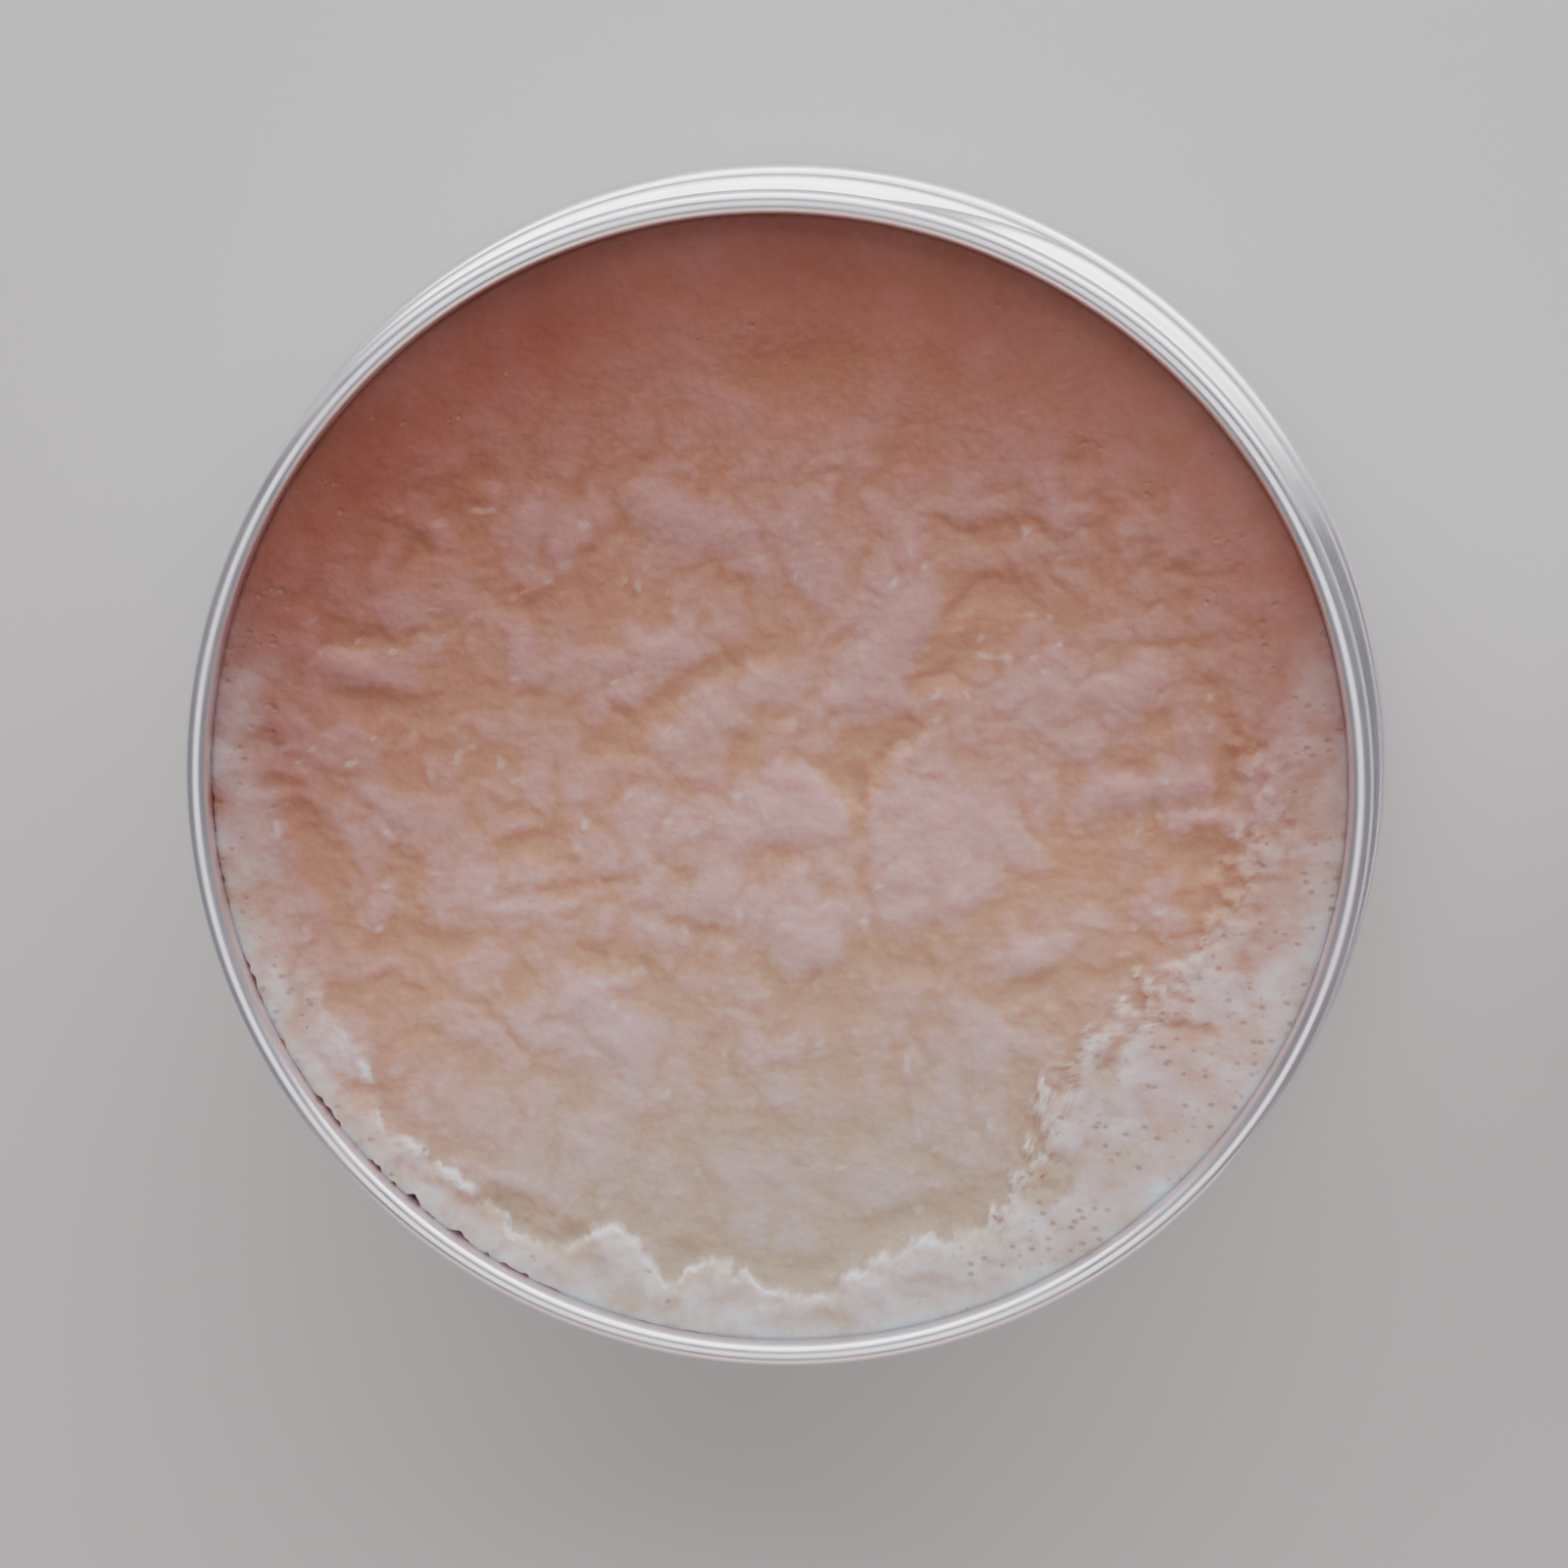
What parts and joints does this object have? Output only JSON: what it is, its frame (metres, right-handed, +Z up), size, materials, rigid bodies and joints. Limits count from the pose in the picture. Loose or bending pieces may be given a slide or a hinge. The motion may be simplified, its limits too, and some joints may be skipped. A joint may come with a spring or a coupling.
{
  "type": "shoe polish tin",
  "caption": "Round screw-top aluminium tin, open and filled with pale shoe polish, with its turned-over lid and foam liner lying beside it.",
  "frame": {"origin": "centre of the cup's flat base, on the surface it stands on", "axes": "+Z up along the cup's axis, towards its mouth; +X from the cup to the lid lying beside it; +Y away from the user"},
  "size_m": [0.1883, 0.0834, 0.0266],
  "materials": {
    "cup_metal": "satin, spun",
    "polish_wax": "waxy, slightly see-through, crumbly",
    "lid_metal": "satin, spun",
    "liner_foam": "matt closed-cell foam"
  },
  "bodies": {
    "filled_cup": {"cup": "cup_metal", "polish": "polish_wax"},
    "lined_lid": {"lid": "lid_metal", "liner": "liner_foam"}
  },
  "joints": [
    {"name": "lid_lift", "type": "slide", "parent": "filled_cup", "child": "lined_lid", "axis": [0, 0, 1], "range_m": [0, 0.06]}
  ]
}
